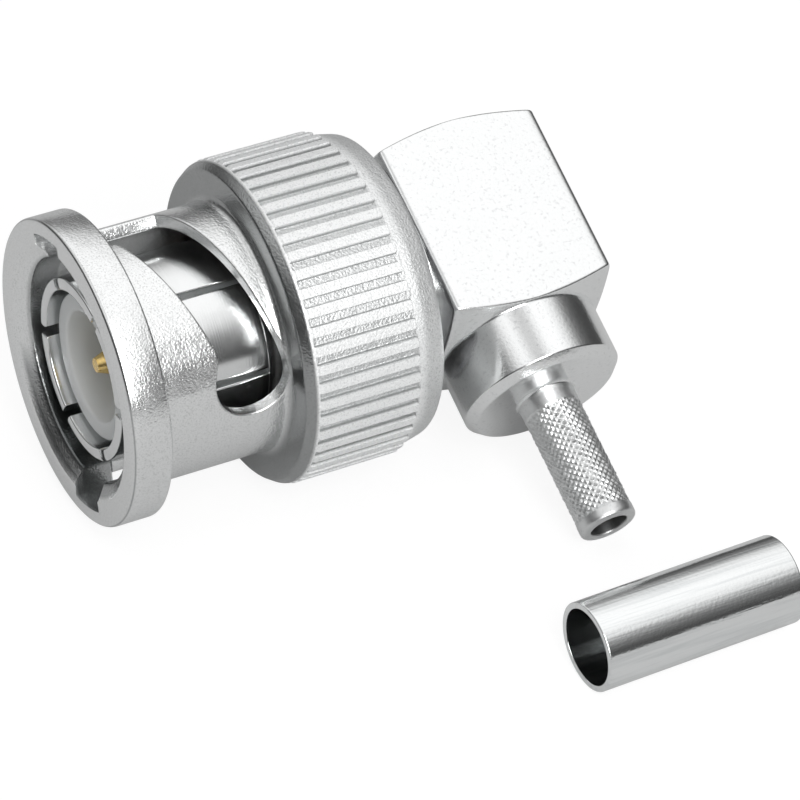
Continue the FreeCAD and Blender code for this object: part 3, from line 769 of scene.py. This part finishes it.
# Outer contact and plug body
# The slotted spring contact and the body behind it are turned brass with thin nickel. The
# contact's root is pressed into the body, and the jack's shell goes over its fingers.
CONTACT_R = 4.05
CONTACT_BORE_R = 3.5
CONTACT_MIDDLE_R = (CONTACT_R + CONTACT_BORE_R) / 2
CONTACT_FRONT = 0.6
CONTACT_STEP = 8.0
NARROW_BORE_R = 3.0
ROOT_R = 3.4
ROOT_END = 13.6
FINGER_END = 7.6
FINGER_COUNT = 6
FINGER_ANGLE = math.radians(6.0)
SLOT_WIDTH = 0.5
SLOT_TAPER = 0.28                          # the sprung fingers stand closer together at their roots
SLOT_SOFT = 0.05
SHOULDER_FRONT = NUT_LENGTH - 3.0
SHOULDER_REAR = SHOULDER_FRONT + 0.9
GASKET_FRONT = SHOULDER_FRONT - 1.0
GASKET_SEAT_R = 4.25
SEAT_EDGE = 0.03
TURNED_RINGS = 9000.0
TURNED_HAZE = 700.0
TURNED_DULL = (0.8, 0.81, 0.81)
TURNED_PLATE = (0.9, 0.91, 0.91)


def finger_shells():
    """Each finger is half a section outside and half inside, carried between its slots' flat walls:
    angle = middle + s (half - asin(w / 2r)), with s from -1 to 1, and edges softened towards them."""
    shells = []
    outer, inner = (rounded([(CONTACT_FRONT, CONTACT_MIDDLE_R), (CONTACT_FRONT, radius),
                             (FINGER_END, radius), (FINGER_END, CONTACT_MIDDLE_R)],
                            (0, nose, 0.05, 0), False)
                    for radius, nose in ((CONTACT_R, 0.22), (CONTACT_BORE_R, 0.12)))
    s = np.concatenate([[-1, -0.995, -0.985, -0.97], np.linspace(-0.94, 0.94, 28),
                        [0.97, 0.985, 0.995, 1]])
    fall = np.clip((np.abs(s) - 0.97) / 0.03, 0, 1) ** 2 * SLOT_SOFT
    for k in range(FINGER_COUNT):
        middle = FINGER_ANGLE + (k + 0.5) * 2 * math.pi / FINGER_COUNT
        sides = []
        for section, side in ((outer, -1), (inner, 1)):
            radius = section[:, 1:] + side * fall * (np.abs(section[:, 1:] - CONTACT_MIDDLE_R) > 0.1)
            reached = (section[:, :1] - CONTACT_FRONT) / (FINGER_END - CONTACT_FRONT)
            width = SLOT_WIDTH - SLOT_TAPER * reached
            turn = middle + s * (math.pi / FINGER_COUNT - np.arcsin(width / 2 / radius))
            sides.append(about_axis(section[:, :1], radius, turn))
        ends = [(np.stack([side[:, e] for side in sides]), False, False) for e in (0, -1)]
        shells.append([(sides[0], False, False), (sides[1], False, False), *ends])
    return shells


def root_shell():
    """The closed ring behind the fingers, with the gasket's seat: its section carried round."""
    section = rounded([(FINGER_END - 0.02, CONTACT_BORE_R + 0.02), (FINGER_END - 0.02, CONTACT_R),
                       (GASKET_FRONT, CONTACT_R), (GASKET_FRONT, GASKET_SEAT_R),
                       (SHOULDER_FRONT, GASKET_SEAT_R), (SHOULDER_FRONT, ROOT_R), (ROOT_END, ROOT_R),
                       (ROOT_END, NARROW_BORE_R), (CONTACT_STEP, NARROW_BORE_R),
                       (CONTACT_STEP, CONTACT_BORE_R + 0.02)],
                      [SEAT_EDGE] * 2 + [0.1] + [SEAT_EDGE] * 3 + [0.1] + [SEAT_EDGE] * 3)
    around = np.linspace(0, 2 * math.pi, 128, endpoint=False)
    return [(about_axis(section[:, :1], section[:, 1:], around), True, True)]


def tool_rings(tree, place, scale, detail=2.0):
    """Noise that changes along X alone, as the rings that a turning tool leaves."""
    depth = tree.node("ShaderNodeSeparateXYZ", inputs={0: place}).get(0)
    return noise(tree, tree.node("ShaderNodeCombineXYZ", inputs={0: depth}).get(0), scale, detail)


def turned_nickel(tree, place):
    """Nickel over turned brass: fine rings left by the tool, and a few dull specks."""
    haze = noise(tree, place, TURNED_HAZE)
    return {"Base Color": ramp(tree, haze, (0.3, TURNED_DULL), (0.6, TURNED_PLATE)), "Metallic": 1.0,
            "Roughness": haze * 0.12 + 0.12,
            "Normal": bump(tree, tool_rings(tree, place, TURNED_RINGS), 0.004)}


def dress(names, material):
    """A CAD node keeps its mesh and gets a finish."""
    for name in names:
        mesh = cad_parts[name].data
        mesh.materials.clear()
        mesh.materials.append(material)


turned_finish = finish("turned_nickel", turned_nickel)
contact = shell("outer_contact_dressed", [*finger_shells(), root_shell()], "root",
                ["outer_contact"])
contact.data.materials.append(turned_finish)
dress(["plug_body"], turned_finish)


# Thrust washer, retaining ring and wave washer
# Stamped from spring steel. The ring keeps the nut on the body, and the waved washer, between the
# body's shoulder and the thrust washer, lies flatter as the nut is pulled forward.
WAVE_INNER_R = 3.92
WAVE_OUTER_R = 4.83
WAVE_THICKNESS = 0.18
WAVE_EDGE = 0.03                           # a share of the thickness
WAVE_SPACE = 0.7
WAVE_COUNT = 3
WAVE_PLAY = 0.01
STEEL_GRAIN = 3000.0
STEEL_DARK = (0.36, 0.36, 0.37)
STEEL_LIGHT = (0.5, 0.5, 0.51)


def spring_steel(tree, place):
    """Dull stamped steel with a rolled grain."""
    grain = noise(tree, place, STEEL_GRAIN, 3.0)
    return {"Base Color": ramp(tree, grain, (0.3, STEEL_DARK), (0.7, STEEL_LIGHT)), "Metallic": 1.0,
            "Roughness": grain * 0.2 + 0.25, "Normal": bump(tree, grain, 0.006)}


def wave_shell():
    """A flat section carried round the axis: depth = middle + swing cos(n angle)."""
    around = np.linspace(0, 2 * math.pi, 144, endpoint=False)
    swing = (WAVE_SPACE - WAVE_THICKNESS) / 2 - WAVE_PLAY
    middle = SHOULDER_REAR + WAVE_SPACE / 2 + swing * np.cos(WAVE_COUNT * around)
    section = rounded([(-0.5, WAVE_INNER_R), (-0.5, WAVE_OUTER_R),
                       (0.5, WAVE_OUTER_R), (0.5, WAVE_INNER_R)], [WAVE_EDGE] * 4)
    return [(about_axis(middle + WAVE_THICKNESS * section[:, :1], section[:, 1:], around), True, True)]


steel = finish("spring_steel", spring_steel)
dress(["thrust_washer", "retaining_ring"], steel)
wave_washer = shell("wave_washer_dressed", [wave_shell()], "root", ["wave_washer"])
wave_washer.data.materials.append(steel)
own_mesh(wave_washer)


# Gasket
# A moulded ring of red-brown silicone rubber in front of the shoulder, where the jack's shell ends.
SILICONE_FLOW = 1500.0
SILICONE_DARK = (0.5, 0.16, 0.1)
SILICONE_LIGHT = (0.58, 0.2, 0.13)


def silicone(tree, place):
    """Moulded silicone rubber, matt, with a fine flow texture."""
    flow = noise(tree, place, SILICONE_FLOW)
    return {"Base Color": ramp(tree, flow, (0.3, SILICONE_DARK), (0.7, SILICONE_LIGHT)),
            "Roughness": flow * 0.2 + 0.45, "Normal": bump(tree, flow, 0.01)}


dress(["gasket"], finish("silicone", silicone))


# Insulators
# Three pieces of white fluoropolymer turned from bar hold the centre pin. The front one has a deep
# round socket, and its back end is pressed into the contact's root.
SOCKET_R = 2.45
SOCKET_BOTTOM = 6.4
INSULATOR_R = 3.25
INSULATOR_FRONT = 1.1
INSULATOR_REAR = (CONTACT_STEP + ROOT_END) / 2
COLLAR_R = 1.15                            # the pin's collar and the neck in front of it
COLLAR_START = INSULATOR_REAR - 0.8
PIN_NECK_R = 0.875
POLYMER_RINGS = 6000.0
POLYMER_CLOUD = 400.0
POLYMER_GREY = (0.84, 0.865, 0.865)
POLYMER_WHITE = (0.88, 0.9, 0.9)
POLYMER_DEPTH = 0.6                        # how far light goes into it


def fluoropolymer(tree, place):
    """White, waxy and slightly translucent, with faint tool rings."""
    rings = tool_rings(tree, place, POLYMER_RINGS, 1.0)
    cloud = noise(tree, place, POLYMER_CLOUD)
    return {"Base Color": ramp(tree, cloud, (0.3, POLYMER_GREY), (0.7, POLYMER_WHITE)),
            "Roughness": rings * 0.1 + 0.32, "Subsurface Weight": 0.4,
            "Subsurface Radius": (1.0, 1.0, 1.0), "Subsurface Scale": POLYMER_DEPTH * MM,
            "Normal": bump(tree, rings, 0.002)}


white_finish = finish("fluoropolymer", fluoropolymer)
dress(["rear_insulator", "cap_insulator"], white_finish)
front_insulator = turned("front_insulator_dressed", [
    (INSULATOR_FRONT, SOCKET_R), (INSULATOR_FRONT, INSULATOR_R), (CONTACT_STEP, INSULATOR_R),
    (CONTACT_STEP, NARROW_BORE_R), (INSULATOR_REAR, NARROW_BORE_R), (INSULATOR_REAR, COLLAR_R),
    (COLLAR_START, COLLAR_R), (COLLAR_START, PIN_NECK_R), (SOCKET_BOTTOM, PIN_NECK_R),
    (SOCKET_BOTTOM, SOCKET_R)], (0.16, 0.1, 0, 0, 0, 0, 0, 0, 0, 0.3), (0, 0, 0), (-1, 0, 0), "root",
    ["front_insulator"])
front_insulator.data.materials.append(white_finish)


# Centre pin
# Turned brass with gold plate. Its collar is caught between the front and rear insulators, and its
# blunt nose stands in the socket.
PIN_RINGS = 9000.0
GOLD_DEEP = (0.8, 0.56, 0.2)
GOLD_BRIGHT = (0.93, 0.7, 0.3)


def gold(tree, place):
    """Bright gold plate over turned brass, with fine tool rings."""
    rings = tool_rings(tree, place, PIN_RINGS, 1.0)
    return {"Base Color": ramp(tree, rings, (0.3, GOLD_DEEP), (0.7, GOLD_BRIGHT)), "Metallic": 1.0,
            "Roughness": rings * 0.1 + 0.14, "Normal": bump(tree, rings, 0.004)}


dress(["centre_pin"], finish("gold", gold))
